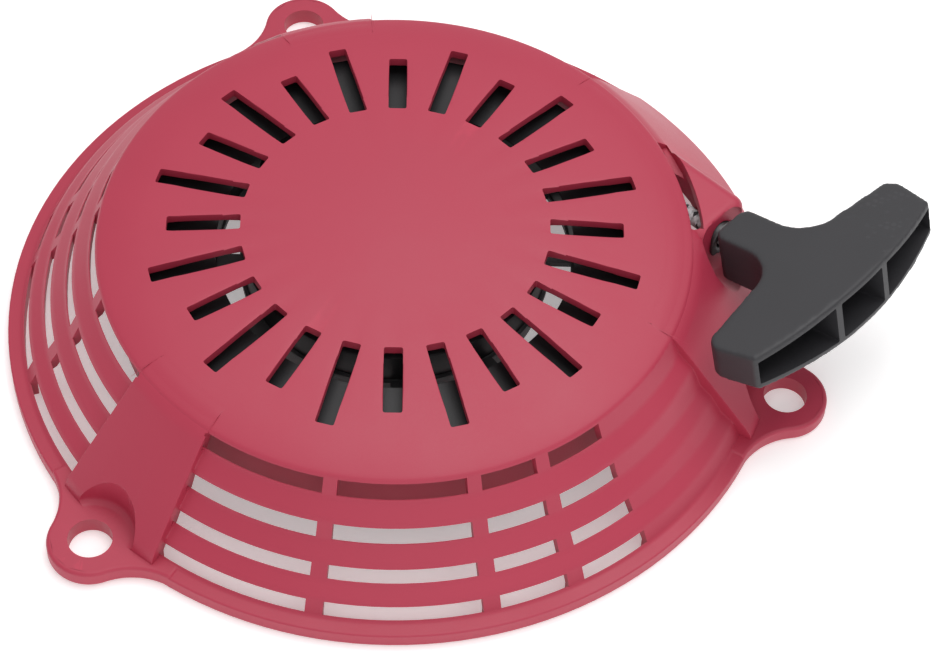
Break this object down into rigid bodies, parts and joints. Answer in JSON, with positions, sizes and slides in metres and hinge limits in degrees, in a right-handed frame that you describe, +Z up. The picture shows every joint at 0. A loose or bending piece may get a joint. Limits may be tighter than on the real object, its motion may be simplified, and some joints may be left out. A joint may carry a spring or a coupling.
{
  "type": "recoil starter",
  "caption": "Pull-rope recoil starter for a small vertical-shaft engine: round slotted and louvred cover with bolt lugs, rope reel, ratchets and T-handle",
  "frame": {"origin": "on the crank axis, in the plane of the cover's bolting face", "axes": "+Z up along the crank axis, out of the engine; +Y towards one of the three lugs"},
  "size_m": [0.2284, 0.2094, 0.0448],
  "materials": {
    "red_plastic": "fine satin moulded nylon, carmine red",
    "black_plastic": "satin moulded charcoal",
    "reel_plastic": "satin moulded near-black nylon",
    "steel": "zinc plated and hardened steel",
    "brass": "turned brass",
    "rope": "white braided polyester with dark flecks"
  },
  "bodies": {
    "cover": {"housing": "red_plastic", "post_insert": "brass", "rope_guide": "steel", "centre_screw": "steel", "screw_collar": "steel", "thrust_washer": "steel", "friction_spring": "steel"},
    "reel": {"reel": "reel_plastic", "recoil_spring": "steel", "rope_winding": "rope", "rope_knot_reel": "rope", "ratchet_spring_a": "steel", "ratchet_spring_b": "steel"},
    "handle": {"handle": "black_plastic", "knot_washer": "steel", "rope_knot_handle": "rope", "rope_run": "rope"},
    "guide": {"ratchet_guide": "reel_plastic"},
    "ratchet_a": {"ratchet_a": "steel"},
    "ratchet_b": {"ratchet_b": "steel"}
  },
  "joints": [
    {"name": "handle_pull", "type": "slide", "parent": "cover", "child": "handle", "axis": [0.5106, -0.8172, 0.2672], "range_m": [0, 0.9], "stiffness_N_per_m": 12, "springref_m": -0.8, "deforming": ["rope_run"]},
    {"name": "reel_spin", "type": "hinge", "parent": "cover", "child": "reel", "pos_m": [0, 0, 0.0242], "axis": [0, 0, 1], "range_deg": [-860, 0], "deforming": ["recoil_spring"]},
    {"name": "guide_turn", "type": "hinge", "parent": "reel", "child": "guide", "pos_m": [0, 0, 0.0103], "axis": [0, 0, 1], "range_deg": [0, 25]},
    {"name": "ratchet_a_swing", "type": "hinge", "parent": "reel", "child": "ratchet_a", "pos_m": [0.019, 0, 0.0154], "axis": [0, 0, 1], "range_deg": [0, 35.01], "deforming": ["ratchet_spring_a"]},
    {"name": "ratchet_b_swing", "type": "hinge", "parent": "reel", "child": "ratchet_b", "pos_m": [-0.019, 0, 0.0154], "axis": [0, 0, 1], "range_deg": [0, 35.01], "deforming": ["ratchet_spring_b"]}
  ],
  "couplings": [
    {"joint": "reel_spin", "follows": "handle_pull", "rad_per_m": -16.502},
    {"joint": "ratchet_a_swing", "follows": "guide_turn", "ratio": 1.4},
    {"joint": "ratchet_b_swing", "follows": "guide_turn", "ratio": 1.4}
  ]
}
